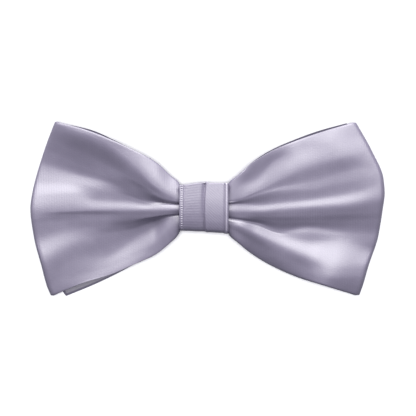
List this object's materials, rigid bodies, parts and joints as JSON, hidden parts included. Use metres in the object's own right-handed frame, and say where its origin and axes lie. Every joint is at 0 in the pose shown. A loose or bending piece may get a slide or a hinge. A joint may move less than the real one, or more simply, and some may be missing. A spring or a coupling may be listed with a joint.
{
  "type": "pre-tied bow tie",
  "caption": "Pre-tied satin bow tie: a pleated front bow over a flat second band, gathered by a cloth knot with a hidden clip behind it.",
  "frame": {"origin": "centre of the flat back face of the clip, on the plane the bow tie lies on", "axes": "+X along the bow, to the right in a view of its front, +Y toward its upper edge, +Z out of its front"},
  "size_m": [0.1207, 0.0593, 0.0174],
  "materials": {
    "satin": "soft satin sheen, greyish lilac",
    "clip_metal": "plated, satin"
  },
  "bodies": {
    "root": {"front_bow": "satin", "back_bow": "satin", "knot": "satin", "clip": "clip_metal"}
  },
  "joints": []
}
